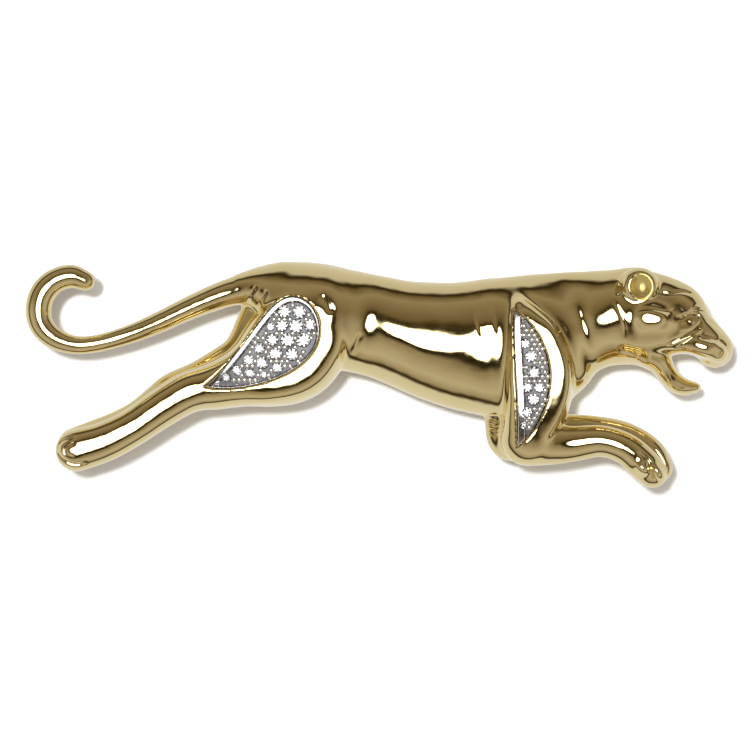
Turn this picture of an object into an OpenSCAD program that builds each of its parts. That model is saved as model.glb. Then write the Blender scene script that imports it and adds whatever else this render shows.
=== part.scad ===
// Leaping cat brooch: hollow gold casting with two diamond-set plates and a pin on its back.
// Frame: the cat faces +X, +Z is up, the show side faces -Y. The origin is on the axis of the pin
// stem, midway between its rivet and its catch. Millimetres.

/* [Castings] */
// Wall of the hollow torso
wall = 0.9; // [0.7:0.05:1]
// Distance from the pin's axis to the flat back of the castings
back_gap = 3; // [2.9:0.05:3.2]
// Gap left for solder between neighbouring castings
solder = 0.03; // [0.02:0.01:0.05]

/* [Plates and stones] */
// Thickness of the plates from rim to underside
plate_t = 0.9; // [0.8:0.05:1]
// Height of the rim above the plate's floor
rim_h = 0.25; // [0.2:0.05:0.3]
// Mean width of the rim
rim_w = 0.32; // [0.28:0.02:0.36]
// Radius of the dome that the haunch plate follows
haunch_dome = 40; // [32:2:50]
// Radius of the dome that the shoulder plate follows
shoulder_dome = 26; // [20:1:34]

/* [Pin and its joint] */
// Radius of the stem's shank
stem_r = 0.4; // [0.35:0.05:0.45]
// Distance from the origin to the rivet
rivet_x = 12.5; // [12:0.25:13]
// Radius of the joint rivet
rivet_r = 0.35; // [0.3:0.05:0.4]
// Thickness of each ear of the joint
ear_t = 0.5; // [0.4:0.05:0.6]

/* [Catch] */
// Distance from the origin to the near end of the catch housing
catch_x = 11.1; // [11:0.1:11.5]
// Length of the catch housing
catch_len = 3; // [2.8:0.1:3.2]
// Outer radius of the catch rotor
rotor_r = 1.2; // [1.1:0.05:1.3]
// Wall of the catch housing
housing_wall = 0.45; // [0.4:0.05:0.5]
// Reach of the thumb lever from the rotor's axis
lever_reach = 2.7; // [2.5:0.1:3]
// Angle of the lever from +Y when the catch is open
lever_angle = 50; // [45:1:55]

/* [Hidden] */
function numbered(stem, n) = [for (i = [1 : n]) str(stem, i < 10 ? "0" : "", i)];

// Stations of a casting: [x, z, radius seen from the front, y of the centre, half depth]
SPINE = [
    [-12.2, -1.6, 6.0, -4.4, 4.6],
    [-8.0, -0.4, 4.3, -4.2, 4.0],
    [-4.0, -1.6, 4.6, -4.2, 4.0],
    [0.0, -2.6, 5.3, -4.2, 4.2],
    [6.3, -2.8, 6.2, -4.2, 4.4],
    [12.4, -0.7, 4.3, -4.4, 3.8],
    [15.2, -0.3, 3.9, -4.6, 3.5],
];
HEAD = [[15.2, -0.3, 3.9, -4.6, 3.5], [17.5, 0.2, 3.4, -4.8, 3.2], [19.9, 0.7, 2.0, -4.8, 2.6],
    [22.3, -1.6, 1.8, -4.6, 2.1], [23.0, -3.0, 1.45, -4.4, 1.7]];
CHEEK = [[15.6, -0.9, 3.4, -4.8, 3.3], [17.4, -1.6, 2.9, -5.0, 3.3], [20.6, -1.5, 1.8, -4.7, 2.5]];
JAW = [[17.6, -3.2, 1.6, -4.8, 2.3], [19.2, -5.4, 1.1, -4.5, 1.7], [20.9, -6.2, 0.6, -4.3, 1.1]];
HIND_LEG_NEAR = [[-13.6, -3.0, 4.8, -4.8, 4.2], [-17.4, -5.2, 2.7, -5.6, 2.9], [-20.4, -6.3, 1.8, -6.2, 2.1],
    [-25.0, -8.7, 1.5, -6.2, 1.7], [-28.5, -10.6, 1.6, -6.0, 1.7], [-31.3, -11.6, 1.75, -5.8, 1.8]];
HIND_LEG_FAR = [[-15.9, -0.2, 1.5, -4.0, 1.3], [-17.4, -3.0, 1.5, -4.0, 1.3], [-20.2, -4.8, 1.7, -4.0, 1.3],
    [-23.8, -6.5, 1.4, -4.0, 1.2], [-27.2, -9.0, 1.3, -4.0, 1.2], [-31.4, -11.1, 1.4, -4.0, 1.2]];
FORELEG_NEAR = [[7.5, -1.8, 2.3, -6.6, 2.3], [7.8, -4.6, 3.0, -6.4, 3.0], [7.7, -7.6, 2.8, -6.4, 2.9],
    [7.1, -10.5, 2.3, -6.6, 2.5], [10.2, -10.7, 1.8, -7.0, 2.0], [13.6, -10.5, 1.5, -7.0, 1.6],
    [15.8, -11.4, 1.5, -6.8, 1.5], [17.8, -13.4, 1.6, -6.4, 1.7]];
FORELEG_FAR = [[5.0, -7.6, 1.6, -4.2, 1.3], [5.3, -10.3, 1.9, -4.2, 1.4], [9.5, -9.9, 1.5, -4.3, 1.3],
    [12.6, -9.9, 1.3, -4.3, 1.2], [15.3, -10.4, 1.3, -4.3, 1.2], [17.6, -12.0, 1.4, -4.2, 1.3]];
TAIL = [[-15.6, 3.0, 1.25, -4.6, 1.25], [-17.2, 2.5, 1.2, -4.6, 1.2], [-19.0, 1.8, 1.1, -4.6, 1.1],
    [-21.5, 0.7, 1.0, -4.6, 1.0], [-24.5, -0.7, 0.9, -4.6, 0.9], [-27.0, -1.7, 0.8, -4.6, 0.8],
    [-29.5, -2.4, 0.75, -4.6, 0.75], [-31.5, -2.6, 0.8, -4.6, 0.8], [-33.2, -2.0, 0.95, -4.6, 0.95],
    [-34.3, -0.9, 1.05, -4.6, 1.05], [-34.6, 0.5, 1.1, -4.6, 1.1], [-34.2, 1.9, 1.1, -4.6, 1.1],
    [-33.2, 2.9, 1.05, -4.6, 1.05], [-31.8, 3.3, 1.0, -4.6, 1.0], [-30.5, 2.8, 0.8, -4.6, 0.8]];

// Outlines of the plates as cubic curves, [start, control, control, end] in X and Z
HAUNCH_CURVES = [
    [[-20.4, -6.1], [-17.5, -6.6], [-13.2, -5.6], [-11.4, -3.3]],
    [[-11.4, -3.3], [-9.4, -0.9], [-12.0, 3.4], [-14.7, 0.6]],
    [[-14.7, 0.6], [-16.2, -1.0], [-18.4, -4.6], [-20.4, -6.1]],
];
SHOULDER_CURVES = [
    [[6.1, -11.2], [9.6, -8.2], [9.9, -2.4], [5.8, 0.4]],
    [[5.8, 0.4], [5.7, -3.0], [6.3, -8.0], [6.1, -11.2]],
];
// How far each sunk floor is moved in X and Z, which makes its rim wider on the upper left
HAUNCH_SHIFT = [0.1, -0.1];
SHOULDER_SHIFT = [0.1, 0];
// Domes: [centre x, y of the front, centre z, radius]
HAUNCH_DOME = [-13.5, -9.2, -2.0, haunch_dome];
SHOULDER_DOME = [7.5, -9.8, -5.3, shoulder_dome];

// Stones: [x, z, girdle radius]
HAUNCH_STONES = [
    [-13.6, 0.3, 0.52], [-12.35, 0.25, 0.55], [-11.45, -0.85, 0.5], [-12.65, -0.95, 0.58],
    [-13.85, -0.9, 0.5], [-14.85, -1.0, 0.34], [-12.0, -2.15, 0.6], [-13.35, -2.15, 0.58],
    [-14.65, -2.1, 0.52], [-15.75, -2.85, 0.46], [-14.35, -3.3, 0.52], [-13.0, -3.4, 0.52],
    [-16.7, -3.85, 0.45], [-15.5, -4.1, 0.52], [-14.2, -4.5, 0.45], [-16.6, -4.95, 0.45],
    [-15.4, -5.1, 0.33], [-17.7, -4.75, 0.4], [-18.6, -5.35, 0.35], [-19.4, -5.8, 0.25],
];
SHOULDER_STONES = [
    [6.75, -2.4, 0.38], [7.25, -3.5, 0.5], [7.5, -4.9, 0.56], [6.95, -6.15, 0.44],
    [7.95, -6.15, 0.44], [7.45, -7.2, 0.5], [6.9, -8.3, 0.44], [6.75, -9.3, 0.36],
];

back_y = -back_gap;
clear = 0.03;
curve_steps = 8;
blob_fn = 20;
round_fn = 48;
dome_fn = 160;

YELLOW_GOLD = "#c9a94a";
WHITE_GOLD = "#dcdcd8";
DIAMOND = "#eef4ff";

// ---- shapes shared by the castings ----

// One ellipsoid of a casting; grow moves its surface out
module blob(s, grow = 0) {
    translate([s[0], s[3], s[1]])
        scale([s[2] + grow, s[4] + grow, s[2] + grow]) sphere(r = 1, $fn = blob_fn);
}

// A smooth limb through its stations
module limb(stations, grow = 0) {
    for (i = [0 : len(stations) - 2])
        hull() {
            blob(stations[i], grow);
            blob(stations[i + 1], grow);
        }
}

// Everything behind the flat back of the castings
module behind_back() {
    translate([-50, back_y, -50]) cube([100, 50, 100]);
}

// Torso, head and near hind leg as one closed shape
module trunk(grow = 0) {
    limb(SPINE, grow);
    limb(HEAD, grow);
    limb(CHEEK, grow);
    limb(JAW, grow);
    limb(HIND_LEG_NEAR, grow);
}

// ---- plates ----

function cubic(c, t) = pow(1 - t, 3) * c[0] + 3 * t * pow(1 - t, 2) * c[1]
    + 3 * t * t * (1 - t) * c[2] + pow(t, 3) * c[3];
function outline(curves) = [for (c = curves) for (i = [0 : curve_steps - 1]) cubic(c, i / curve_steps)];

// A prism along Y with a flat X-Z section, from y = -12 to y = from
module prism(from = -3) {
    translate([0, from, 0]) rotate([90, 0, 0]) linear_extrude(12 + from) children();
}

// The ball whose surface lies "deep" under a dome
module dome_ball(dome, deep = 0) {
    translate([dome[0], dome[1] + dome[3], dome[2]]) sphere(r = dome[3] - deep, $fn = dome_fn);
}

// Places its children at [x, z] on a dome, with +Z out of the surface
module on_dome(dome, at, deep = 0) {
    side = [at[0] - dome[0], at[1] - dome[2]];
    up = [side[0], -sqrt(pow(dome[3], 2) - side * side), side[1]] / dome[3];
    centre = [dome[0], dome[1] + dome[3], dome[2]];
    translate(centre + up * (dome[3] - deep))
        rotate([0, acos(up[2]), atan2(up[1], up[0])]) children();
}

// The hollow that a stone sits in, with a hole out of the back
module stone_seat(r) {
    seat_h = 0.55 * r;
    translate([0, 0, -seat_h]) cylinder(h = seat_h, r1 = 0.4 * r, r2 = r + clear, $fn = round_fn);
    translate([0, 0, -plate_t]) cylinder(h = plate_t, r = 0.4 * r, $fn = round_fn);
    cylinder(h = 1, r = r + clear, $fn = round_fn);
}

// A domed plate with a rim, a sunk floor and a seat for each stone
module pave_plate(curves, shift, dome, stones) {
    difference() {
        intersection() {
            prism() polygon(outline(curves));
            dome_ball(dome);
        }
        dome_ball(dome, plate_t);
        difference() {
            prism() translate(shift) offset(delta = -rim_w) polygon(outline(curves));
            dome_ball(dome, rim_h);
        }
        for (s = stones) on_dome(dome, [s[0], s[1]], rim_h) stone_seat(s[2]);
    }
}

// Ground in a casting that a plate stands in
module plate_ground(curves, dome) {
    intersection() {
        prism(-5.6) offset(delta = 0.5) polygon(outline(curves));
        dome_ball(dome, clear);
    }
}

// The recess for a plate
module plate_recess(curves, dome) {
    difference() {
        prism() offset(delta = clear) polygon(outline(curves));
        dome_ball(dome, plate_t + clear);
    }
}

// A round brilliant: pavilion, girdle and crown, girdle level at z = 0
module brilliant(r) {
    color(DIAMOND) {
        translate([0, 0, -0.85 * r]) cylinder(h = 0.85 * r, r1 = 0.02, r2 = r, $fn = round_fn);
        cylinder(h = 0.06 * r, r = r, $fn = round_fn);
        translate([0, 0, 0.06 * r]) cylinder(h = 0.3 * r, r1 = r, r2 = 0.56 * r, $fn = round_fn);
    }
}

module haunch_stone(i) {
    s = HAUNCH_STONES[i];
    on_dome(HAUNCH_DOME, [s[0], s[1]], rim_h) brilliant(s[2]);
}

module shoulder_stone(i) {
    s = SHOULDER_STONES[i];
    on_dome(SHOULDER_DOME, [s[0], s[1]], rim_h) brilliant(s[2]);
}

module haunch_plate() {
    color(WHITE_GOLD) pave_plate(HAUNCH_CURVES, HAUNCH_SHIFT, HAUNCH_DOME, HAUNCH_STONES);
}

module shoulder_plate() {
    color(WHITE_GOLD) pave_plate(SHOULDER_CURVES, SHOULDER_SHIFT, SHOULDER_DOME, SHOULDER_STONES);
}

// ---- castings ----

module body_casting() {
    color(YELLOW_GOLD) difference() {
        union() {
            trunk();
            plate_ground(HAUNCH_CURVES, HAUNCH_DOME);
            ear();
        }
        limb(SPINE, -wall);
        behind_back();
        plate_recess(HAUNCH_CURVES, HAUNCH_DOME);
        plate_recess(SHOULDER_CURVES, SHOULDER_DOME);
        // Window behind the round end of the plate
        translate([-13, -3, -1.4]) rotate([90, 0, 0]) cylinder(h = 9, r = 1.8, $fn = 32);
    }
}

// Cupped ear, open towards the show side
module ear() {
    difference() {
        hull() {
            blob([16.2, 2.3, 1.5, -6.0, 1.2]);
            blob([16.6, 2.5, 1.4, -7.2, 0.5]);
        }
        blob([16.7, 2.4, 1.0, -8.0, 1.2]);
    }
}

module tail() {
    color(YELLOW_GOLD) difference() {
        limb(TAIL);
        trunk(solder);
    }
}

module hind_leg_far() {
    color(YELLOW_GOLD) difference() {
        limb(HIND_LEG_FAR);
        trunk(solder);
        limb(TAIL, solder);
        behind_back();
    }
}

module foreleg_near() {
    color(YELLOW_GOLD) difference() {
        union() {
            limb(FORELEG_NEAR);
            plate_ground(SHOULDER_CURVES, SHOULDER_DOME);
        }
        trunk(solder);
        plate_recess(SHOULDER_CURVES, SHOULDER_DOME);
    }
}

module foreleg_far() {
    color(YELLOW_GOLD) difference() {
        limb(FORELEG_FAR);
        trunk(solder);
        limb(FORELEG_NEAR, solder);
        behind_back();
    }
}

// ---- findings on the back ----

bridge_y = back_y + 0.02;
bridge_t = 0.6;
foot_y = bridge_y + bridge_t + 0.02;
foot_t = 0.5;
ear_gap = 1;
eye_r = 1;
eye_t = ear_gap - 0.1;

// Strap across the open back, from z = low to z = high, with round ends
module bridge(x, low, high, width) {
    color(YELLOW_GOLD) translate([x, bridge_y, 0]) rotate([-90, 0, 0]) linear_extrude(bridge_t) {
        translate([-width / 2, -high + width / 2]) square([width, high - low - width]);
        for (z = [low + width / 2, high - width / 2]) translate([0, -z]) circle(d = width, $fn = round_fn);
    }
}

module hinge_bridge() bridge(-rivet_x, -6.2, 3.6, 3.4);

module catch_bridge() bridge(catch_x + catch_len / 2, -4.4, 3.2, 3.4);

module pin_joint() {
    ear_w = 1.9;
    color(YELLOW_GOLD) difference() {
        translate([-rivet_x, 0, 0]) {
            translate([-1.3, foot_y, -1.3]) cube([2.6, foot_t, 2.6]);
            for (z = [-ear_gap / 2 - ear_t, ear_gap / 2]) translate([0, 0, z]) {
                cylinder(h = ear_t, d = ear_w, $fn = round_fn);
                translate([-ear_w / 2, foot_y, 0]) cube([ear_w, -foot_y, ear_t]);
            }
        }
        translate([-rivet_x, 0, -5]) cylinder(h = 10, r = rivet_r + 0.02, $fn = round_fn);
    }
}

module joint_rivet() {
    head_t = 0.15;
    out = ear_gap / 2 + ear_t + 0.02;
    color(YELLOW_GOLD) translate([-rivet_x, 0, 0]) {
        translate([0, 0, -out - head_t]) cylinder(h = 2 * (out + head_t), r = rivet_r, $fn = round_fn);
        for (z = [-out - head_t, out]) translate([0, 0, z]) cylinder(h = head_t, r = rivet_r + 0.2, $fn = round_fn);
    }
}

module pin_stem() {
    shank_end = catch_x - 0.4;
    tip_len = catch_len + 1.6;
    color(WHITE_GOLD) difference() {
        union() {
            translate([-rivet_x, 0, -eye_t / 2]) cylinder(h = eye_t, r = eye_r, $fn = round_fn);
            translate([-rivet_x, 0, 0]) rotate([0, 90, 0])
                cylinder(h = rivet_x + shank_end, r = stem_r, $fn = round_fn);
            translate([shank_end, 0, 0]) rotate([0, 90, 0])
                cylinder(h = tip_len, r1 = stem_r, r2 = 0.06, $fn = round_fn);
        }
        translate([-rivet_x, 0, -5]) cylinder(h = 10, r = rivet_r + 0.05, $fn = round_fn);
    }
}

housing_bore = rotor_r + 0.05;
housing_r = housing_bore + housing_wall;
slot_half = 0.6;
window = 1;
catch_mid = catch_x + catch_len / 2;

module catch_housing() {
    color(YELLOW_GOLD) difference() {
        union() {
            translate([catch_x, 0, 0]) rotate([0, 90, 0]) cylinder(h = catch_len, r = housing_r, $fn = round_fn);
            translate([catch_x, foot_y, -0.9]) cube([catch_len, -foot_y, 1.8]);
            translate([catch_x, foot_y, -1.4]) cube([catch_len, foot_t, 2.8]);
        }
        translate([catch_x - 1, 0, 0]) rotate([0, 90, 0])
            cylinder(h = catch_len + 2, r = housing_bore, $fn = round_fn);
        translate([catch_x - 1, 0, -slot_half]) cube([catch_len + 2, 3, 2 * slot_half]);
        translate([catch_mid - window / 2, 0.5, -3]) cube([window, 3, 6]);
    }
}

module catch_rotor() {
    bore = 0.5;
    slot = 0.5;
    lever_t = 0.55;
    len = catch_len - 0.1;
    color(YELLOW_GOLD) difference() {
        union() {
            translate([catch_mid - len / 2, 0, 0]) rotate([0, 90, 0]) cylinder(h = len, r = rotor_r, $fn = round_fn);
            rotate([-lever_angle, 0, 0]) {
                translate([catch_mid - 0.4, 0.8, -lever_t / 2])
                    cube([0.8, lever_reach - 0.8 - lever_t / 2, lever_t]);
                translate([catch_mid - 0.4, lever_reach - lever_t / 2, 0]) rotate([0, 90, 0])
                    cylinder(h = 0.8, d = lever_t, $fn = round_fn);
            }
        }
        translate([catch_x - 1, 0, 0]) rotate([0, 90, 0]) cylinder(h = catch_len + 2, r = bore, $fn = round_fn);
        translate([catch_x - 1, 0, -slot]) cube([catch_len + 2, 3, 2 * slot]);
    }
}

body_casting();
tail();
hind_leg_far();
foreleg_near();
foreleg_far();
haunch_plate();
shoulder_plate();
for (i = [0 : len(HAUNCH_STONES) - 1])
    haunch_stone(i);
for (i = [0 : len(SHOULDER_STONES) - 1])
    shoulder_stone(i);
hinge_bridge();
catch_bridge();
pin_joint();
joint_rivet();
pin_stem();
catch_housing();
catch_rotor();
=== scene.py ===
"""Looks of the leaping cat brooch: sculpted gold castings, set plates and cut stones around the CAD frame.

Lengths in the sculpting tables are millimetres in the frame's axes; meshes are made in metres.
"""
import math

import bmesh
import bpy
import numpy as np
import openvdb
from mathutils import Matrix, Vector


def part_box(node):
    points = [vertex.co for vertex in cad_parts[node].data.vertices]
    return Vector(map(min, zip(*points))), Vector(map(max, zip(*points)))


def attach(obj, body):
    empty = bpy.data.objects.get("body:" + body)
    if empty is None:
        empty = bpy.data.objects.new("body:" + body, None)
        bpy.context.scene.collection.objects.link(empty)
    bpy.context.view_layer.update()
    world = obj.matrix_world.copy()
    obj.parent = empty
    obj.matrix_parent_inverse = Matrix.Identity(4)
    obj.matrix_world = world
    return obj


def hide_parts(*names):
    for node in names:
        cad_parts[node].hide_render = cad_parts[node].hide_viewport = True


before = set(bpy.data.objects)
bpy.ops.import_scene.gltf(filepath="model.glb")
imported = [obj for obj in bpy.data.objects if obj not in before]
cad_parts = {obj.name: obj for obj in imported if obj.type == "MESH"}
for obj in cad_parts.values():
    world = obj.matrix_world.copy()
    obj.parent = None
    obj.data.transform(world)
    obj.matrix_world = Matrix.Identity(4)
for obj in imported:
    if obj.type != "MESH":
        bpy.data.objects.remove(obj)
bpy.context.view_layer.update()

MM = 0.001
BACK_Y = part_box("body_casting")[1].y / MM  # flat back of the castings


# ---------------------------------------------------------------- camera and light

PHOTO_WIDTH = 63.92     # width of the view at the brooch's middle, mm
VIEW_X = -5.87          # what the picture's centre looks at
VIEW_Z = -5.185
MIDDLE_Y = -5.5         # depth of the brooch's middle
LENS = 500.0            # long, so that the card behind keeps its shadow close to the brooch
SENSOR = 36.0
FLOOR_Z = -44.0         # just under the view
FLOOR_HALF = 600.0      # half the floor's side
CARD_Y = 2.0            # the white card behind the brooch
CARD_HALF = 42.0        # half the card's side
SUN_POWER = 2.6
SUN_ANGLE = 4           # degrees across, for a soft edge to the shadow
SUN_DIRECTION = (0.09, 1.0, -0.085)


def make_camera():
    """A long lens straight in front, as wide as the photograph."""
    data = bpy.data.cameras.new("camera")
    data.lens = LENS
    data.sensor_width = SENSOR
    data.clip_start = 0.001
    data.clip_end = 10
    camera = bpy.data.objects.new("camera", data)
    distance = PHOTO_WIDTH * LENS / SENSOR
    camera.location = (VIEW_X * MM, (MIDDLE_Y - distance) * MM, VIEW_Z * MM)
    camera.rotation_euler = (math.pi / 2, 0, 0)
    bpy.context.scene.collection.objects.link(camera)
    bpy.context.scene.camera = camera


def link_chain(tree, kind, **inputs):
    """A node of that kind with its inputs set or linked: i0 is input 0, and From_Min is "From Min"."""
    node = tree.nodes.new(kind)
    for name, value in inputs.items():
        key = int(name[1:]) if name[0] == "i" and name[1:].isdigit() else name.replace("_", " ")
        if isinstance(value, bpy.types.NodeSocket):
            tree.links.new(value, node.inputs[key])
        else:
            node.inputs[key].default_value = value
    return node


# The tent, from its source in front of the brooch to straight behind it: (share of the half turn, level, warmth)
TENT_ABOVE = [
    (0.0, 4.0, 0.0), (0.086, 4.0, 0.0), (0.096, 0.03, 1.0), (0.13, 0.05, 1.0),
    (0.17, 0.17, 0.8), (0.25, 0.24, 0.65), (0.36, 0.32, 0.5), (0.44, 0.16, 0.8),
    (0.475, 0.03, 1.0), (0.50, 0.05, 1.0), (0.54, 0.60, 0.1), (1.0, 0.85, 0.0),
]
TENT_BELOW = [
    (0.0, 4.0, 0.0), (0.100, 4.0, 0.0), (0.110, 0.02, 1.0), (0.15, 0.03, 1.0),
    (0.19, 0.30, 0.5), (0.27, 0.45, 0.3), (0.36, 0.55, 0.2), (0.46, 0.38, 0.4),
    (0.50, 0.04, 1.0), (0.53, 0.06, 1.0), (0.57, 0.70, 0.0), (1.0, 0.85, 0.0),
]
SOURCE_DIRECTION = (-0.03, -0.995, 0.10)    # towards the bright source
HALVES_MEET = (-0.15, 0.35)                 # heights between which the lower tent passes into the upper one


def tent_ramp(tree, share, stops):
    """Colours along the tent; warmth takes green and blue out of a grey level."""
    ramp = link_chain(tree, "ShaderNodeValToRGB", Fac=share)
    ramp.color_ramp.interpolation = "LINEAR"
    elements = ramp.color_ramp.elements
    while len(elements) > 1:
        elements.remove(elements[-1])
    for k, (position, level, warmth) in enumerate(stops):
        stop = elements[0] if k == 0 else elements.new(position)
        stop.position = position
        stop.color = (level, level * (1 - 0.3 * warmth), level * (1 - 0.7 * warmth), 1)
    return ramp.outputs["Color"]


def make_world():
    """A light tent: a bright source in front, dim warm walls, darker above, and a white end behind."""
    world = bpy.data.worlds.new("tent")
    bpy.context.scene.world = world
    world.use_nodes = True
    tree = world.node_tree
    tree.nodes.clear()
    coord = tree.nodes.new("ShaderNodeTexCoord")
    toward = link_chain(tree, "ShaderNodeVectorMath", i0=coord.outputs["Generated"], i1=SOURCE_DIRECTION)
    toward.operation = "DOT_PRODUCT"
    angle = link_chain(tree, "ShaderNodeMath", i0=toward.outputs["Value"])
    angle.operation = "ARCCOSINE"
    share = link_chain(tree, "ShaderNodeMath", i0=angle.outputs[0], i1=math.pi)
    share.operation = "DIVIDE"
    above = tent_ramp(tree, share.outputs[0], TENT_ABOVE)
    below = tent_ramp(tree, share.outputs[0], TENT_BELOW)
    split = tree.nodes.new("ShaderNodeSeparateXYZ")
    tree.links.new(coord.outputs["Generated"], split.inputs[0])
    low, high = HALVES_MEET
    height = link_chain(tree, "ShaderNodeMapRange", Value=split.outputs["Z"], From_Min=low, From_Max=high)
    height.interpolation_type = "SMOOTHSTEP"
    both = link_chain(tree, "ShaderNodeMixRGB", Fac=height.outputs["Result"], Color1=below, Color2=above)
    tent = link_chain(tree, "ShaderNodeBackground", Color=both.outputs["Color"], Strength=1.0)
    white = link_chain(tree, "ShaderNodeBackground", Color=(1, 1, 1, 1), Strength=1.0)
    path = tree.nodes.new("ShaderNodeLightPath")
    mix = link_chain(tree, "ShaderNodeMixShader", Fac=path.outputs["Is Camera Ray"])
    tree.links.new(tent.outputs[0], mix.inputs[1])
    tree.links.new(white.outputs[0], mix.inputs[2])
    out = tree.nodes.new("ShaderNodeOutputWorld")
    tree.links.new(mix.outputs[0], out.inputs["Surface"])


def stage_plane(name, corners, material):
    mesh = bpy.data.meshes.new(name)
    mesh.from_pydata(corners, [], [(0, 1, 2, 3)])
    mesh.materials.append(material)
    obj = bpy.data.objects.new(name, mesh)
    bpy.context.scene.collection.objects.link(obj)
    return obj


def matt_paint(name, colour, roughness):
    m = bpy.data.materials.new(name)
    m.use_nodes = True
    shader = m.node_tree.nodes["Principled BSDF"]
    shader.inputs["Base Color"].default_value = (*colour, 1)
    shader.inputs["Roughness"].default_value = roughness
    return m


def card_paper():
    """White paper that is clear from behind, so the back of the brooch can be seen."""
    m = matt_paint("card", (0.95, 0.95, 0.95), 1.0)
    tree = m.node_tree
    shader = tree.nodes["Principled BSDF"]
    clear = tree.nodes.new("ShaderNodeBsdfTransparent")
    geometry = tree.nodes.new("ShaderNodeNewGeometry")
    mix = link_chain(tree, "ShaderNodeMixShader", Fac=geometry.outputs["Backfacing"])
    tree.links.new(shader.outputs[0], mix.inputs[1])
    tree.links.new(clear.outputs[0], mix.inputs[2])
    tree.links.new(mix.outputs[0], tree.nodes["Material Output"].inputs["Surface"])
    return m


def make_stage():
    """The pale floor, and a white card close behind the brooch that takes its soft shadow from the front."""
    square = [(-1, -1), (1, -1), (1, 1), (-1, 1)]
    pale = matt_paint("pale_floor", (0.95, 0.95, 0.94), 0.9)
    s = FLOOR_HALF * MM
    floor = stage_plane("floor", [(s * a, s * b, FLOOR_Z * MM) for a, b in square], pale)
    cx, cz, w = VIEW_X * MM, VIEW_Z * MM, CARD_HALF * MM
    card = stage_plane("card", [(cx + w * a, CARD_Y * MM, cz + w * b) for a, b in square], card_paper())
    for obj in (floor, card):
        obj.visible_glossy = False
        obj.visible_diffuse = False
        obj.visible_transmission = False
    sun = bpy.data.lights.new("lamp", "SUN")
    sun.energy = SUN_POWER
    sun.angle = math.radians(SUN_ANGLE)
    lamp = bpy.data.objects.new("lamp", sun)
    lamp.rotation_euler = Vector(SUN_DIRECTION).to_track_quat("-Z", "Y").to_euler()
    lamp.visible_glossy = False
    bpy.context.scene.collection.objects.link(lamp)


# ---------------------------------------------------------------- sculpting with fields

VOXEL = 0.11
CURVE_STEPS = 6         # pieces of a curve between two stations of a limb or a loft
STROKE_STEPS = 8        # and between two points of a relief stroke
SOFTEN_TIMES = 3
SHARP_ANGLE = 50        # edges sharper than this, in degrees, are shaded as edges
LOFT_Y = -4.2           # depth of the widest section of a loft


def spline(stations, per):
    """Catmull-Rom curve through the rows of stations, every column alike."""
    p = np.array(stations, float)
    p = np.vstack([2 * p[0] - p[1], p, 2 * p[-1] - p[-2]])
    rows = []
    for i in range(1, len(p) - 2):
        a, b, c, d = p[i - 1], p[i], p[i + 1], p[i + 2]
        for t in np.arange(per) / per:
            rows.append(0.5 * (2 * b + (c - a) * t + (2 * a - 5 * b + 4 * c - d) * t ** 2
                               + (3 * b - a - 3 * c + d) * t ** 3))
    rows.append(p[-2])
    return np.array(rows)


def nearest_on(rows, x, z, radius=None):
    """For every point: distance to the polyline (less the local radius) and the interpolated extra columns."""
    best = np.full(x.shape, 1e9)
    columns = [np.zeros(x.shape) for _ in range(rows.shape[1] - 2)]
    for a, b in zip(rows[:-1], rows[1:]):
        dx, dz = b[0] - a[0], b[1] - a[1]
        t = np.clip(((x - a[0]) * dx + (z - a[1]) * dz) / (dx * dx + dz * dz + 1e-12), 0, 1)
        d = np.hypot(x - a[0] - t * dx, z - a[1] - t * dz)
        if radius is not None:
            d = d - (a[radius] + t * (b[radius] - a[radius]))
        near = d < best
        best[near] = d[near]
        for k, column in enumerate(columns):
            column[near] = (a[k + 2] + t * (b[k + 2] - a[k + 2]))[near]
    return best, columns


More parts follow.
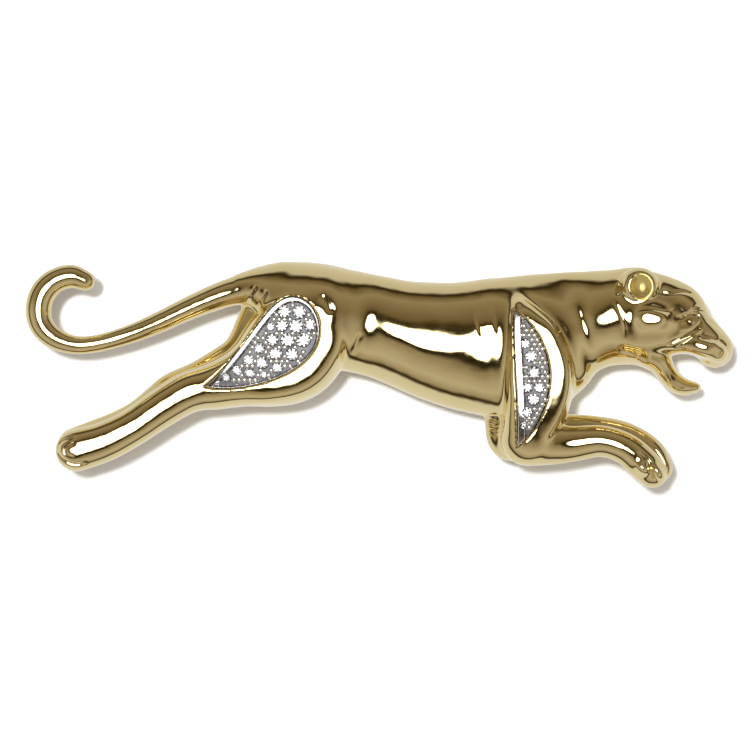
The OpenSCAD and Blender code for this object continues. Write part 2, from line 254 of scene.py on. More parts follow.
class Block:
    """A box of space sampled on a regular grid, in millimetres."""

    def __init__(self, low, high, step=VOXEL):
        self.low = np.array(low, float)
        self.step = step
        self.x, self.y, self.z = (np.arange(a, b, step, dtype=np.float32) for a, b in zip(low, high))
        self.X2, self.Z2 = np.meshgrid(self.x, self.z, indexing="ij")
        self.Y = self.y[None, :, None]

    def section(self, across, r, y, deep, square=2.0):
        """Section of a limb: across counts radii in the front view, y and deep give the depth.

        It is an ellipse where square is 2, flatter in front above that and keeled below it.
        """
        across, r, y, deep = (np.asarray(v, np.float32)[:, None, :] for v in (across, r, y, deep))
        along = np.abs(self.Y - y) / deep
        k0 = (across ** square + along ** square + 1e-9) ** (1 / square)
        slope = np.sqrt((across ** (square - 1) / r) ** 2 + (along ** (square - 1) / deep) ** 2)
        return (k0 - 1) / (slope / (k0 + 1e-3) ** (square - 1) + 0.02)

    def limb(self, stations, square=2.0):
        """Distance to a limb whose stations are [x, z, radius from the front, y of the centre, half depth]."""
        best, (r, y, deep) = nearest_on(spline(stations, CURVE_STEPS), self.X2, self.Z2, radius=2)
        return self.section(np.maximum(1 + best / r, 0), r, y, deep, square)

    def loft(self, stations):
        """Distance to a body whose stations are [x, z of the top, z of the underside, y of the front, square]."""
        rows = spline(stations, CURVE_STEPS)
        top, under, front, square = (np.interp(self.x, rows[:, 0], rows[:, k]) for k in (1, 2, 3, 4))
        r = ((top - under) / 2)[:, None] + 0 * self.Z2
        middle = ((top + under) / 2)[:, None]
        y = LOFT_Y + 0 * r
        f = self.section(np.abs(self.Z2 - middle) / r, r, y, LOFT_Y - front[:, None] + 0 * r,
                         square.astype(np.float32)[:, None, None])
        ends = np.maximum(rows[0, 0] - self.x, self.x - rows[-1, 0])[:, None, None]
        return np.maximum(f, ends)

    def ball(self, centre, radii, tilt=0.0):
        """Distance to an ellipsoid, [x, y, z], turned by tilt degrees in the front view."""
        dx = self.X2 - centre[0]
        dz = self.Z2 - centre[2]
        c, s = math.cos(math.radians(tilt)), math.sin(math.radians(tilt))
        a = ((c * dx + s * dz) / radii[0])[:, None, :]
        e = ((c * dz - s * dx) / radii[2])[:, None, :]
        b = (self.Y - centre[1]) / radii[1]
        k0 = np.sqrt(a * a + b * b + e * e)
        k1 = np.sqrt((a / radii[0]) ** 2 + (b / radii[1]) ** 2 + (e / radii[2]) ** 2) + 1e-6
        return k0 * (k0 - 1) / k1

    def dome(self, cx, front, cz, radius):
        """Distance beyond a big sphere whose foremost point is (cx, front, cz)."""
        square = ((self.X2 - cx) ** 2 + (self.Z2 - cz) ** 2)[:, None, :] + (self.Y - front - radius) ** 2
        return np.sqrt(square) - radius


def blend(a, b, k):
    """Smooth union of two fields; k is the width of the fillet in millimetres."""
    h = np.maximum(k - np.abs(a - b), 0) / k
    return np.minimum(a, b) - h * h * h * k / 6


def meet(a, b, k):
    """Smooth intersection of two fields."""
    return -blend(-a, -b, k)


def cut(a, b, k):
    """Smooth difference: a without b."""
    return -blend(-a, b, k)


def soften(f):
    """Rounds the kinks of a field by averaging each sample with its neighbours."""
    for _ in range(SOFTEN_TIMES):
        for axis in range(3):
            a = np.moveaxis(f, axis, 0)
            a[1:-1] = 0.25 * (a[:-2] + a[2:]) + 0.5 * a[1:-1]
    return f


def to_mesh(name, block, field, passes=3):
    """The zero surface of a field as a smooth mesh object, in metres, closed where it meets the block's sides."""
    field = field.astype(np.float32)
    for axis in range(3):
        end = [slice(None)] * 3
        for k in (0, -1):
            end[axis] = k
            field[tuple(end)] = np.maximum(field[tuple(end)], block.step / 2)
    grid = openvdb.FloatGrid(background=1.0)
    grid.copyFromArray(np.ascontiguousarray(field))
    points, quads = grid.convertToQuads(isovalue=0.0)
    points = (np.asarray(points) * block.step + block.low) * MM
    quads = np.asarray(quads)
    mesh = bpy.data.meshes.new(name)
    mesh.vertices.add(len(points))
    mesh.vertices.foreach_set("co", points.astype(np.float32).ravel())
    mesh.loops.add(quads.size)
    mesh.loops.foreach_set("vertex_index", quads.astype(np.int32).ravel())
    mesh.polygons.add(len(quads))
    mesh.polygons.foreach_set("loop_start", np.arange(0, quads.size, 4, dtype=np.int32))
    mesh.update(calc_edges=True)
    mesh.validate()
    mesh.polygons.foreach_set("use_smooth", [True] * len(mesh.polygons))
    obj = bpy.data.objects.new(name, mesh)
    bpy.context.scene.collection.objects.link(obj)
    smooth = obj.modifiers.new("smooth", "SMOOTH")
    smooth.iterations = passes
    smooth.factor = 0.5
    apply_modifiers(obj)
    return obj


def apply_modifiers(obj):
    depsgraph = bpy.context.evaluated_depsgraph_get()
    mesh = bpy.data.meshes.new_from_object(obj.evaluated_get(depsgraph))
    obj.modifiers.clear()
    obj.data = mesh


def part_of(name, whole, region, operation):
    """What is left of a mesh inside (INTERSECT) or outside (DIFFERENCE) a region, as a new object."""
    obj = bpy.data.objects.new(name, whole.data.copy())
    bpy.context.scene.collection.objects.link(obj)
    boolean = obj.modifiers.new("part", "BOOLEAN")
    boolean.solver = "MANIFOLD"
    boolean.operation = operation
    boolean.object = region
    apply_modifiers(obj)
    obj.data.set_sharp_from_angle(angle=math.radians(SHARP_ANGLE))
    return obj


def discard(obj):
    mesh = obj.data
    bpy.data.objects.remove(obj)
    bpy.data.meshes.remove(mesh)


# ---------------------------------------------------------------- the cat's form

WALL = 0.9               # gold left round the hollow back
HOLLOW_Y = -7.4          # the hollow goes no further forward, so it stays clear of the plates
HOLLOW_SPAN = (2, -3)    # stations of the trunk that are hollow
BACK_ROUND = 0.35        # rounding of the edge round the flat back
HOLLOW_ROUND = 0.25      # and of the hollow's edge
RECESS_ROUND = 0.2       # and of the recesses for the plates
REGION_REACH = 0.5       # how far outside the gold the regions reach that part it

# Back and belly lines: [x, z of the top, z of the underside, y of the front, squareness of the section]
TRUNK = [
    [-17.6, 3.35, 1.3, -6.1, 2], [-16.2, 3.95, 0.1, -6.9, 2], [-14.8, 4.33, -1.8, -7.8, 2],
    [-13.2, 4.5, -3.6, -8.5, 2], [-11.5, 4.5, -4.5, -8.9, 2], [-9.8, 4.3, -4.6, -9.05, 2],
    [-8.4, 3.97, -4.8, -8.7, 2], [-6.7, 3.6, -5.2, -8.15, 2], [-4.9, 3.25, -5.9, -8.3, 2],
    [-3.0, 2.9, -6.75, -8.45, 2.05], [-1.3, 2.8, -7.4, -8.5, 2.05], [0.4, 2.75, -7.95, -8.5, 2.05],
    [2.1, 2.9, -8.35, -8.55, 2.1], [3.5, 3.1, -8.6, -8.55, 2.2], [4.8, 3.2, -8.7, -8.55, 2.1],
    [7.2, 3.45, -8.7, -8.0, 1.9], [8.8, 3.55, -8.4, -7.9, 1.9], [10.2, 3.65, -7.7, -7.75, 1.8],
    [11.5, 3.7, -6.4, -7.65, 1.8], [12.7, 3.78, -5.0, -7.85, 1.8], [14.0, 3.85, -4.35, -7.98, 1.9],
    [14.9, 3.9, -4.25, -7.93, 1.8], [15.7, 3.95, -4.2, -7.75, 1.8], [17.0, 3.9, -4.3, -7.4, 1.8],
]
# Limbs: [x, z, radius from the front, y of the centre, half depth]
HAUNCH = [
    [-12.2, -1.9, 4.3, -5.4, 5.8], [-13.2, -3.2, 4.3, -5.4, 5.8], [-15.0, -4.4, 3.4, -5.5, 5.6],
    [-17.2, -5.3, 2.4, -5.8, 4.6], [-19.4, -6.0, 1.9, -5.9, 3.3],
]
HIND_LEG = [
    [-17.2, -5.3, 2.3, -5.8, 2.9], [-19.4, -6.0, 1.9, -5.9, 2.6],
    [-21.8, -6.6, 1.75, -6.1, 2.3], [-24.2, -8.0, 1.65, -6.1, 2.1], [-26.6, -9.6, 1.6, -6.0, 2.0],
    [-29.0, -10.8, 1.7, -5.9, 1.95], [-31.3, -11.5, 1.8, -5.8, 1.9],
]
FAR_HIND_LEG = [
    [-15.2, 0.9, 1.8, -4.2, 1.6], [-16.1, -0.8, 1.7, -4.2, 1.5], [-17.4, -3.0, 1.5, -4.2, 1.4],
    [-19.3, -4.3, 1.4, -4.2, 1.3], [-21.1, -5.3, 1.35, -4.2, 1.3], [-23.2, -6.3, 1.4, -4.2, 1.3],
    [-24.3, -7.2, 1.4, -4.2, 1.3], [-26.0, -8.6, 1.4, -4.2, 1.3], [-27.9, -9.6, 1.4, -4.2, 1.3],
    [-29.7, -10.3, 1.4, -4.2, 1.3], [-31.5, -11.1, 1.5, -4.2, 1.3],
]
TAIL = [
    [-13.8, 3.0, 1.3, -4.7, 1.9], [-16.6, 2.4, 1.25, -4.8, 1.7], [-19.0, 1.7, 1.15, -4.8, 1.45],
    [-21.5, 0.7, 1.02, -4.7, 1.3], [-24.5, -0.7, 0.9, -4.6, 1.1], [-27.0, -1.7, 0.8, -4.6, 0.8],
    [-29.5, -2.4, 0.75, -4.6, 0.75], [-31.5, -2.55, 0.8, -4.6, 0.8], [-33.2, -2.0, 0.95, -4.6, 0.95],
    [-34.3, -0.9, 1.05, -4.6, 1.05], [-34.6, 0.5, 1.1, -4.6, 1.1], [-34.2, 1.9, 1.1, -4.6, 1.1],
    [-33.2, 2.9, 1.05, -4.6, 1.05], [-31.8, 3.3, 1.0, -4.6, 1.0], [-30.6, 2.9, 0.85, -4.6, 0.85],
]
SHOULDER_BLADE = [
    [7.0, 0.2, 2.0, -5.6, 1.7], [9.4, -0.6, 2.0, -5.6, 2.2], [10.5, -2.6, 1.75, -5.6, 2.2],
    [10.9, -4.8, 1.5, -5.4, 2.1],
]
UPPER_ARM = [
    [6.3, 0.7, 0.9, -6.2, 2.6], [6.9, -0.7, 1.7, -6.2, 4.4], [7.6, -2.5, 2.5, -6.2, 5.8],
    [7.95, -5.0, 3.0, -6.2, 6.4], [7.8, -7.2, 2.85, -6.2, 5.8], [7.2, -9.4, 2.3, -6.5, 4.2],
    [7.0, -10.6, 2.15, -6.8, 2.7],
]
FOREARM = [
    [7.0, -10.6, 2.15, -6.8, 2.4], [8.6, -10.9, 1.85, -7.0, 1.75], [10.6, -10.95, 1.55, -7.0, 1.35],
    [13.2, -10.7, 1.35, -7.0, 1.35], [15.2, -11.3, 1.35, -6.9, 1.4], [16.6, -12.4, 1.4, -6.7, 1.4],
    [17.6, -13.4, 1.3, -6.5, 1.3],
]
FAR_FORELEG = [
    [5.2, -7.4, 1.7, -4.4, 1.3], [5.2, -9.2, 1.8, -4.4, 1.3], [5.6, -10.6, 1.8, -4.4, 1.4],
    [7.5, -10.4, 1.6, -4.4, 1.4], [9.8, -9.9, 1.45, -4.4, 1.3], [12.6, -9.9, 1.35, -4.4, 1.2],
    [15.2, -10.4, 1.35, -4.4, 1.2], [17.2, -11.7, 1.45, -4.4, 1.3], [18.2, -13.0, 1.2, -4.5, 1.2],
]
SKULL = [
    [16.3, 0.5, 3.45, -4.7, 2.4], [18.4, 0.55, 2.8, -4.7, 2.5], [20.0, 0.4, 2.15, -4.7, 2.4],
    [21.2, -0.6, 1.5, -4.6, 2.3], [22.3, -1.95, 1.5, -4.5, 2.2], [22.95, -2.9, 1.6, -4.4, 2.0],
]
CHEEK = [
    [16.0, -0.9, 3.0, -4.7, 2.95], [17.2, -0.9, 2.9, -4.8, 3.1], [18.3, -1.1, 2.4, -4.8, 3.0],
    [19.3, -1.5, 1.9, -4.8, 2.7], [20.8, -1.75, 1.45, -4.8, 2.35],
]
CHEEKBONE = [[17.1, -0.3, 1.2, -4.8, 3.5], [18.0, -0.4, 1.0, -4.8, 3.48]]
LIP = [
    [20.2, -2.35, 0.75, -4.8, 2.2], [21.3, -2.55, 0.9, -4.8, 2.6], [22.4, -2.85, 0.95, -4.8, 2.6],
    [23.2, -3.25, 0.85, -4.8, 2.1],
]
JAW = [
    [17.2, -3.4, 1.1, -4.8, 2.2], [18.2, -4.0, 1.05, -4.7, 2.0], [18.75, -4.8, 0.9, -4.6, 1.7],
    [19.3, -5.5, 0.85, -4.5, 1.7], [20.1, -6.05, 0.8, -4.4, 1.5], [20.8, -6.15, 0.62, -4.3, 1.3],
    [21.4, -6.15, 0.42, -4.3, 1.1],
]
# Balls: centre as x, y, z, then the three radii
EAR = ((16.45, -6.5, 2.4), (1.75, 1.6, 1.65))
EAR_CUP = ((16.69, -8.3, 2.4), (1.05, 1.1, 1.3))
UPPER_TOE = ((16.7, -7.1, -12.95), (1.0, 1.3, 0.65), -42)    # and its tilt in degrees
LOWER_TOE = ((17.95, -6.9, -13.25), (1.1, 1.3, 0.55), -58)
# Gently domed tops of the haunch and the shoulder: x, y, z of the summit, radius
HAUNCH_TOP = (-13.2, -9.1, -2.6, 45)
SHOULDER_TOP = (7.6, -9.75, -4.6, 26)


def ramp_over(values, start, end, first, last):
    """A width that goes from first to last while the coordinate goes from start to end."""
    return np.interp(values, [start, end], [first, last])[:, None, :].astype(np.float32)


def trunk_field(block):
    """Torso, neck, head and near hind leg, without the hollow."""
    f = block.loft(TRUNK)
    crease = ramp_over(block.Z2, 1.2, 3.0, 0.3, 1.6)
    f = blend(f, meet(block.limb(HAUNCH), block.dome(*HAUNCH_TOP), 1.0), crease)
    f = blend(f, block.limb(HIND_LEG, 2.6), 0.8)
    f = blend(f, block.limb(SHOULDER_BLADE), 1.5)
    f = blend(f, block.limb(SKULL, 1.9), 0.9)
    f = blend(f, block.limb(CHEEK, 2.5), 0.6)
    f = blend(f, block.limb(CHEEKBONE, 3.5), 1.0)
    f = blend(f, block.limb(LIP, 3.0), 0.4)
    f = blend(f, block.limb(JAW), 0.5)
    f = blend(f, block.ball(*EAR), 0.3)
    return cut(f, block.ball(*EAR_CUP), 0.12)


def arm_field(block):
    """Near shoulder, arm and paw; the edge of the domed shoulder is rounder on its left and at its top."""
    left = np.clip((7.0 - block.X2) / 1.4, 0, 1)
    top = np.clip((block.Z2 + 1.2) / 1.5, 0, 1)
    edge = (0.5 + 0.7 * np.maximum(left, top))[:, None, :].astype(np.float32)
    upper = meet(block.limb(UPPER_ARM), block.dome(*SHOULDER_TOP), edge)
    arm = blend(upper, block.limb(FOREARM, 1.9), 0.5)
    arm = blend(arm, block.ball(*UPPER_TOE), 0.2)
    return blend(arm, block.ball(*LOWER_TOE), 0.2)


# Strokes of relief on the front: (points in x and z, width, height out of the surface)
RELIEF = [
    # brow: its upper line, and the edge over the eye and the cheekbone
    ([(17.9, 1.95), (18.9, 1.8), (20.2, 1.95), (21.3, 1.7)], 0.14, -0.14),
    ([(16.0, 0.75), (17.5, 0.75), (18.7, 0.55), (19.7, 0.95), (20.9, 1.4)], 0.3, 0.04),
    ([(16.2, 0.4), (17.4, 0.5), (18.8, 0.25), (19.6, 0.5)], 0.14, -0.1),
    # glint on the bridge of the nose, and the line under it
    ([(20.8, 0.62), (21.5, 0.66), (22.1, 0.6)], 0.14, 0.13),
    ([(20.7, 0.32), (21.4, 0.36), (22.1, 0.3)], 0.12, -0.14),
    # slit of the eye, the lid under it and the fold round it
    ([(19.4, -0.35), (20.1, -0.2), (20.6, 0.02), (21.3, 0.04), (21.7, -0.4)], 0.14, -0.2),
    ([(19.8, -0.65), (20.5, -0.5), (21.2, -0.65)], 0.24, 0.1),
    ([(21.75, -0.4), (21.5, -0.9), (20.7, -1.35), (19.9, -1.5)], 0.14, -0.1),
    # snarl folds from the nose to the corner of the mouth
    ([(21.7, -1.1), (20.3, -1.75), (18.7, -2.6)], 0.14, -0.14),
    ([(22.0, -1.35), (20.8, -2.05), (19.3, -2.8)], 0.14, -0.1),
    # line under the bridge of the nose, the plane of the muzzle, its lip and the ring round the nose
    ([(22.2, -0.3), (23.2, -1.05), (24.0, -1.7)], 0.16, -0.18),
    ([(21.4, -1.8), (22.2, -2.0), (23.0, -2.3)], 0.35, -0.16),
    ([(22.9, -2.3), (23.5, -2.4), (23.9, -3.0), (23.6, -3.7), (22.9, -4.0)], 0.15, -0.12),
    # edge of the jaw over the throat
    ([(14.6, -2.9), (15.6, -3.1), (16.6, -3.5), (17.4, -4.0)], 0.35, -0.3),
    # line along the lower jaw
    ([(18.9, -4.9), (19.6, -5.8), (20.3, -6.3)], 0.14, -0.1),
    # folds behind the ear and down the neck
    ([(15.2, 3.5), (14.85, 2.6), (14.6, 1.6)], 0.18, -0.35),
    ([(14.3, 1.4), (14.8, 0.2), (15.2, -0.8), (15.3, -2.0)], 0.16, -0.07),
    # hollow between the shoulder and the neck
    ([(10.9, 1.0), (11.6, -0.4), (12.0, -1.8), (12.2, -3.4), (12.2, -4.8)], 0.7, -0.2),
    # dip at the top of the haunch, and the skin fold of the flank
    ([(-10.7, 1.7), (-10.0, 1.0), (-9.6, 0.0)], 0.35, -0.14),
    ([(-7.9, -3.4), (-7.5, -2.4), (-7.1, -1.5)], 0.2, -0.12),
    # notch at the root of the tail
    ([(-17.1, 1.2), (-16.6, 1.8), (-16.0, 2.6)], 0.2, -0.1),
    ([(-16.7, 1.0), (-16.1, 1.7), (-15.6, 2.5)], 0.24, 0.1),
    ([(-16.1, 0.6), (-15.6, 1.4), (-15.1, 2.2)], 0.2, -0.14),
    # line of the ribs
    ([(-6.2, -0.6), (-4.0, -1.6), (-1.5, -2.8), (1.0, -2.7), (3.6, -1.2)], 1.1, 0.09),
    ([(2.6, -1.1), (3.4, -0.9), (4.4, -0.8)], 1.1, 0.14),
    # toes of the near forepaw, and a claw of the far one
    ([(16.3, -11.5), (17.2, -12.4), (17.4, -13.2), (18.2, -14.4)], 0.14, -0.16),
    ([(17.6, -11.2), (18.5, -12.5), (18.8, -13.8)], 0.14, -0.16),
    # toes of the hind foot
    ([(-31.2, -10.3), (-32.6, -10.8), (-32.8, -11.8), (-31.6, -12.6), (-30.2, -12.5)], 0.15, -0.22),
    ([(-31.3, -10.9), (-32.1, -11.2), (-32.2, -11.8), (-31.4, -12.1)], 0.12, -0.14),
    # hair over the far elbow
    *[([(3.3, z), (3.9, z + 0.1), (4.6, z)], 0.09, -0.14) for z in (-9.0, -9.4, -9.8, -10.2)],
]


def press_relief(obj, strokes):
    """Pushes the front of a mesh out (+) or in (-) along drawn strokes, which fade at both ends."""
    mesh = obj.data
    n = len(mesh.vertices)
    co, normal = np.empty(n * 3), np.empty(n * 3)
    mesh.vertices.foreach_get("co", co)
    mesh.vertices.foreach_get("normal", normal)
    co, normal = co.reshape(-1, 3), normal.reshape(-1, 3)
    facing = np.clip(-normal[:, 1] * 1.6, 0, 1)
    x, z = co[:, 0] / MM, co[:, 2] / MM
    for points, width, height in strokes:
        rows = spline(points, STROKE_STEPS)
        share = np.linspace(0, 1, len(rows))
        rows = np.column_stack([rows[:, 0], rows[:, 1], share])
        reach = 3 * width
        low, high = rows.min(0) - reach, rows.max(0) + reach
        inside = np.flatnonzero((x > low[0]) & (x < high[0]) & (z > low[1]) & (z < high[1]) & (facing > 0))
        d, (where,) = nearest_on(rows, x[inside], z[inside])
        taper = np.clip(6 * where * (1 - where), 0, 1)
        co[inside, 1] -= MM * height * facing[inside] * taper * np.exp(-(d / width) ** 2)
    mesh.vertices.foreach_set("co", co.ravel())
    mesh.update()


def make_castings():
    """The whole cat is sculpted as one form, then parted along its creases into the five castings."""
    block = Block((-36.3, -10.6, -15.7), (25.4, -2.4, 5.2))
    fields = {
        "body_casting": trunk_field(block),
        "tail": block.limb(TAIL),
        "hind_leg_far": block.limb(FAR_HIND_LEG),
        "foreleg_near": arm_field(block),
        "foreleg_far": block.limb(FAR_FORELEG),
    }
    whole = blend(fields["body_casting"], fields["tail"], 0.9)
    whole = blend(whole, fields["hind_leg_far"], 0.25)
    whole = blend(whole, fields["foreleg_far"], 0.25)
    whole = soften(blend(whole, fields["foreleg_near"], ramp_over(block.X2, 4.0, 7.0, 2.0, 0.5)))
    near = whole - REGION_REACH
    hollow = block.loft([[x, top - WALL, under + WALL, max(front + WALL, HOLLOW_Y), square]
                         for x, top, under, front, square in TRUNK[slice(*HOLLOW_SPAN)]])
    whole = cut(whole, hollow, HOLLOW_ROUND)
    for plate in (HAUNCH_PLATE, SHOULDER_PLATE):
        leaf = outline_field(block, plate["outline"], (0, 0))
        recess = np.maximum(leaf - PLATE_FIT, -PLATE_THICK - PLATE_FIT - block.dome(*plate["dome"]))
        whole = cut(whole, recess, RECESS_ROUND)
    whole = meet(whole, block.Y - BACK_Y, BACK_ROUND)
    rest = to_mesh("cat", block, whole)
    press_relief(rest, RELIEF)
    pieces = {}
    for name in ("tail", "hind_leg_far", "foreleg_near", "foreleg_far"):
        others = np.minimum.reduce([f for other, f in fields.items() if other != name])
        region = to_mesh("region", block, np.maximum(fields[name] - others, near))
        pieces[name] = part_of("gold_" + name, rest, region, "INTERSECT")
        left = part_of("gold_rest", rest, region, "DIFFERENCE")
        discard(rest)
        discard(region)
        rest = left
    rest.name = "gold_body"
    pieces["body_casting"] = rest
    return pieces


# ---------------------------------------------------------------- plates and stones

PLATE_THICK = 0.9
PLATE_FIT = 0.05     # gap round a plate in its recess
PLATE_STEP = 0.05    # sampling of the plates
RIM_HIGH = 0.25      # height of the rim over the floor, and of the stones' girdles under the rim
RIM_WIDE = 0.32      # width of the rim at its foot
BEAD = 0.24          # radius of a bead
BEAD_FLAT = 0.45     # its height as a share of the radius
BEAD_PITCH = 0.46

# Each outline is three or two cubic curves: [start, control, control, end] in x and z. The dome is the x, y, z of
# its summit and its radius. The shift moves the floor inside the outline, which makes the rim wider on one side.
HAUNCH_PLATE = {
    "name": "haunch", "dome": (-13.5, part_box("haunch_plate")[0].y / MM, -2.0, 40), "shift": (0.12, -0.12),
    "outline": [[[-20.4, -6.1], [-17.5, -6.6], [-13.2, -5.6], [-11.4, -3.3]],
                [[-11.4, -3.3], [-9.4, -0.9], [-12.0, 3.4], [-14.7, 0.6]],
                [[-14.7, 0.6], [-16.2, -1.0], [-18.4, -4.6], [-20.4, -6.1]]],
}
SHOULDER_PLATE = {
    "name": "shoulder", "dome": (7.5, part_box("shoulder_plate")[0].y / MM, -5.3, 26), "shift": (0.38, 0.0),
    "outline": [[[6.1, -11.2], [9.6, -8.2], [9.9, -2.4], [5.8, 0.4]],
                [[5.8, 0.4], [5.7, -3.0], [6.3, -8.0], [6.1, -11.2]]],
}


def bezier_points(curves, per=20):
    t = np.arange(per)[:, None] / per
    return np.vstack([(1 - t) ** 3 * a + 3 * t * (1 - t) ** 2 * b + 3 * t * t * (1 - t) * c + t ** 3 * d
                      for a, b, c, d in np.array(curves, float)])


def outline_distance(points, x, z):
    """Signed distance to a closed outline, negative inside."""
    ring = np.vstack([points, points[:1]])
    d, _ = nearest_on(ring, x, z)
    inside = np.zeros(x.shape, bool)
    for (ax, az), (bx, bz) in zip(ring[:-1], ring[1:]):
        if az != bz:
            inside ^= ((az > z) != (bz > z)) & (x < (bx - ax) * (z - az) / (bz - az) + ax)
    return np.where(inside, -d, d)


def outline_field(block, curves, shift):
    points = bezier_points(curves) + np.array(shift)
    return outline_distance(points, block.X2, block.Z2)[:, None, :].astype(np.float32)


def dome_frame(dome, x, z, deep):
    """Place "deep" under a dome at (x, z), as a matrix with +Z out of the surface, in millimetres."""
    cx, front, cz, radius = dome
    centre = Vector((cx, front + radius, cz))
    up = Vector(((x - cx), -math.sqrt(radius ** 2 - (x - cx) ** 2 - (z - cz) ** 2), (z - cz))) / radius
    turn = up.to_track_quat("Z", "Y").to_matrix().to_4x4()
    return Matrix.Translation(centre + up * (radius - deep)) @ turn


def stones_of(plate):
    """The stones of a plate as [(node, x, z, radius), ...], measured on the frame."""
    stones = []
    for node in sorted(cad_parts):
        if node.startswith(plate["name"] + "_stone"):
            low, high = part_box(node)
            middle = (low + high) / 2 / MM
            stones.append((node, middle.x, middle.z, max(high.x - low.x, high.z - low.z) / 2 / MM))
    return stones


def bead_places(plate, stones):
    """Beads of metal raised in every gap between the stones: a close grid, less the stones and the rim."""
    inner = bezier_points(plate["outline"]) + np.array(plate["shift"])
    low, high = inner.min(0), inner.max(0)
    x = np.arange(low[0], high[0], BEAD_PITCH)
    z = np.arange(low[1], high[1], BEAD_PITCH * 0.866)
    X, Z = np.meshgrid(x, z, indexing="ij")
    X = X + np.where(np.arange(len(z)) % 2, BEAD_PITCH / 2, 0)
    free = outline_distance(inner, X, Z) < -RIM_WIDE - BEAD * 0.5
    for _, sx, sz, r in stones:
        free &= np.hypot(X - sx, Z - sz) > r + BEAD * 0.3
    return list(zip(X[free], Z[free]))


def make_plate(plate):
    """Domed plate with a bright rim, a sunk floor dark with painted shade, stone seats and beads."""
    points = bezier_points(plate["outline"])
    low, high = points.min(0) - 0.3, points.max(0) + 0.3
    cx, front, cz, radius = plate["dome"]
    block = Block((low[0], front - 0.2, low[1]), (high[0], front + 2.4, high[1]), PLATE_STEP)
    leaf = outline_field(block, plate["outline"], (0, 0))
    inner = outline_field(block, plate["outline"], plate["shift"])
    dome = block.dome(*plate["dome"])
    f = meet(meet(leaf, dome, 0.1), -dome - PLATE_THICK, 0.1)
    floor = np.maximum(inner + RIM_WIDE - 0.5 * (dome + RIM_HIGH), -dome - RIM_HIGH)
    f = np.maximum(f, -floor)
    stones = stones_of(plate)
    for _, x, z, r in stones:
        seat = block.ball((x, front + ((x - cx) ** 2 + (z - cz) ** 2) / (2 * radius) + RIM_HIGH, z),
                          (r * 0.97, r * 0.85, r * 0.97))
        f = np.maximum(f, -seat)
    obj = to_mesh(plate["name"] + "_plate_white_gold", block, f, passes=1)
    from_edge = inner[:, 0, :]
    last_i, last_k = from_edge.shape[0] - 1, from_edge.shape[1] - 1

    bm = bmesh.new()
    bm.from_mesh(obj.data)
    for face in bm.faces:
        c = face.calc_center_median() / MM
        deep = front + radius - math.sqrt(radius ** 2 - (c.x - cx) ** 2 - (c.z - cz) ** 2) - c.y
        i, k = int((c.x - block.low[0]) / PLATE_STEP), int((c.z - block.low[2]) / PLATE_STEP)
        sunk = from_edge[min(i, last_i), min(k, last_k)] < -RIM_WIDE
        # Faces of the sunk floor take the second material, a dark grey of painted shade between the stones
        face.material_index = 1 if sunk and deep < -RIM_HIGH * 0.8 else 0
    for x, z in bead_places(plate, stones):
        place = dome_frame(plate["dome"], x, z, RIM_HIGH) @ Matrix.Diagonal((BEAD, BEAD, BEAD * BEAD_FLAT, 1))
        made = bmesh.ops.create_icosphere(bm, subdivisions=2, radius=1.0, matrix=Matrix.Scale(MM, 4) @ place)
        for v in made["verts"]:
            for face in v.link_faces:
                face.smooth = True
    bm.to_mesh(obj.data)
    bm.free()
    return obj


def make_stone(plate, node, x, z, r, turn):
    """A round brilliant: table, stars, kites, girdle and pavilion, each facet flat."""
    crown, girdle, pavilion = 0.3 * r, 0.03 * r, 0.85 * r    # heights
    table, star, low = 0.56 * r, 0.78 * r, 0.24 * r          # radii of the rings

    def ring(radius, height, count, offset=0.0):
        return [Vector((radius * math.cos(a), radius * math.sin(a), height))
                for a in (math.tau * (k + offset) / count for k in range(count))]

    lean = math.cos(math.tau / 16)
    star_height = crown - (crown - girdle) * (star * lean - table) / (r - table)
    low_height = -pavilion + (pavilion - girdle) * low * lean / r
    verts = (ring(table, crown, 8) + ring(star, star_height, 8, 0.5) + ring(r, girdle, 16) + ring(r, -girdle, 16)
             + ring(low, low_height, 8, 0.5) + [Vector((0, 0, -pavilion))])
    # First vertex of the table, the stars, the girdle's upper and under edge, the lower ring and the culet
    T, S, G, U, L, C = 0, 8, 16, 32, 48, 56
    faces = [tuple(range(T, T + 8))]
    for k in range(8):
        n, before = (k + 1) % 8, (k - 1) % 8
        faces.append((T + n, T + k, S + k))
        faces.append((T + k, S + before, G + 2 * k, S + k))
        faces.append((S + k, G + 2 * k, G + 2 * k + 1))
        faces.append((S + k, G + 2 * k + 1, G + (2 * k + 2) % 16))
        faces.append((C, L + k, U + 2 * k, L + before))
        faces.append((L + k, U + 2 * k + 1, U + 2 * k))
        faces.append((L + k, U + (2 * k + 2) % 16, U + 2 * k + 1))
    for k in range(16):
        n = (k + 1) % 16
        faces.append((G + n, G + k, U + k, U + n))
    place = dome_frame(plate["dome"], x, z, RIM_HIGH) @ Matrix.Rotation(turn, 4, "Z")
    mesh = bpy.data.meshes.new("cut_" + node)
    mesh.from_pydata([tuple((place @ v) * MM) for v in verts], [], faces)
    bm = bmesh.new()
    bm.from_mesh(mesh)
    bmesh.ops.recalc_face_normals(bm, faces=bm.faces)
    bm.to_mesh(mesh)
    bm.free()
    obj = bpy.data.objects.new("cut_" + node, mesh)
    bpy.context.scene.collection.objects.link(obj)
    return obj


# ---------------------------------------------------------------- materials


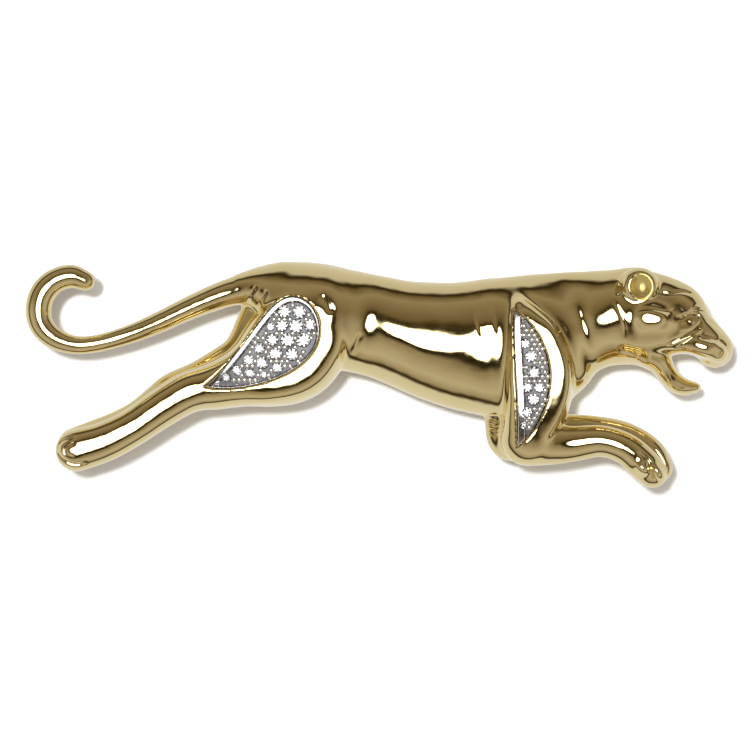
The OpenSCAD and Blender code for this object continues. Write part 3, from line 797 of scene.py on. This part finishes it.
def metal(name, colour, roughness, spread, dents):
    """Metal whose polish varies between roughness and roughness + spread, with faint dents of handwork, in mm."""
    m = bpy.data.materials.new(name)
    m.use_nodes = True
    tree = m.node_tree
    b = tree.nodes["Principled BSDF"]
    b.inputs["Base Color"].default_value = (*colour, 1)
    b.inputs["Metallic"].default_value = 1
    coord = tree.nodes.new("ShaderNodeTexCoord")
    cloud = link_chain(tree, "ShaderNodeTexNoise", Vector=coord.outputs["Object"], Scale=900.0, Detail=4.0)
    polish = link_chain(tree, "ShaderNodeMapRange", Value=cloud.outputs[0], From_Min=0.3, From_Max=0.7,
                        To_Min=roughness, To_Max=roughness + spread)
    tree.links.new(polish.outputs["Result"], b.inputs["Roughness"])
    wave = link_chain(tree, "ShaderNodeTexNoise", Vector=coord.outputs["Object"], Scale=350.0, Detail=2.0)
    bump = link_chain(tree, "ShaderNodeBump", Height=wave.outputs[0], Strength=1.0, Distance=dents * MM)
    tree.links.new(bump.outputs[0], b.inputs["Normal"])
    return m


def gold_material():
    return metal("yellow_gold", (0.87, 0.73, 0.39), 0.05, 0.06, 0.06)


def satin_bounce_material():
    """Matt gold inside the ear, in a deeper yellow that paints the light bounced round the hollow."""
    return metal("yellow_gold_satin_painted_bounce", (0.88, 0.72, 0.28), 0.32, 0.12, 0.03)


def white_material():
    return metal("white_gold", (0.86, 0.86, 0.85), 0.08, 0.06, 0.02)


def painted_shade_floor_material():
    """Dark floor between the stones: painted shade in the sunk recess."""
    return metal("white_gold_painted_shade", (0.17, 0.17, 0.18), 0.3, 0.15, 0.02)


def diamond_material():
    """Clear stone; each facet takes its own depth of grey, a painted reflection that stands in for the dark room
    cut facets mirror.
    """
    m = bpy.data.materials.new("diamond")
    m.use_nodes = True
    tree = m.node_tree
    b = tree.nodes["Principled BSDF"]
    b.inputs["Transmission Weight"].default_value = 1
    b.inputs["Roughness"].default_value = 0.0
    b.inputs["IOR"].default_value = 2.417
    geometry = tree.nodes.new("ShaderNodeNewGeometry")
    # Painted reflection: each facet's normal picks a dark grey or white for the stone's colour
    facet = link_chain(tree, "ShaderNodeTexWhiteNoise", Vector=geometry.outputs["True Normal"])
    ramp = link_chain(tree, "ShaderNodeValToRGB", Fac=facet.outputs["Value"])
    ramp.color_ramp.interpolation = "CONSTANT"
    first, second = ramp.color_ramp.elements
    first.color = (0.12, 0.12, 0.13, 1)
    second.position = 0.3
    second.color = (1, 1, 1, 1)
    tree.links.new(ramp.outputs["Color"], b.inputs["Base Color"])
    return m


MATT_BOUNCE_HALVES = (1.0, 1.22)    # half width and half height of the matt patch with its painted bounced light, just inside the ear cup's edge


def matt_and_bounce_ear(obj, satin_bounce):
    """Gives the faces of the ear's hollow the matt gold, whose deeper yellow is painted light bounced round the
    hollow.
    """
    obj.data.materials.append(satin_bounce)
    x, _, z = EAR_CUP[0]
    half_wide, half_high = MATT_BOUNCE_HALVES
    for face in obj.data.polygons:
        c = face.center / MM
        if ((c.x - x) / half_wide) ** 2 + ((c.z - z) / half_high) ** 2 < 1 and c.y < BACK_Y - 2:
            face.material_index = 1


def dress(obj, material):
    """Gives a piece one material."""
    while len(obj.data.materials) > 1:
        obj.data.materials.pop()
    if obj.data.materials:
        obj.data.materials[0] = material
    else:
        obj.data.materials.append(material)


# ---------------------------------------------------------------- assembly

make_camera()
make_world()
make_stage()
bpy.context.scene.view_settings.view_transform = "Standard"

gold = gold_material()
white = white_material()
dark = painted_shade_floor_material()
diamond = diamond_material()
satin_bounce = satin_bounce_material()

for node, obj in make_castings().items():
    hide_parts(node)
    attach(obj, "brooch")
    dress(obj, gold)
    if node == "body_casting":
        matt_and_bounce_ear(obj, satin_bounce)

for plate in (HAUNCH_PLATE, SHOULDER_PLATE):
    obj = make_plate(plate)
    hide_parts(plate["name"] + "_plate")
    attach(obj, "brooch")
    dress(obj, white)
    # Second slot: the floor's dark grey, painted shade between the stones
    obj.data.materials.append(dark)
    for k, (node, x, z, r) in enumerate(stones_of(plate)):
        stone = make_stone(plate, node, x, z, r, 0.4 * k)
        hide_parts(node)
        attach(stone, "brooch")
        dress(stone, diamond)

for name in ("hinge_bridge", "catch_bridge", "pin_joint", "joint_rivet", "catch_housing", "catch_rotor"):
    dress(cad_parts[name], gold)
dress(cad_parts["pin_stem"], white)
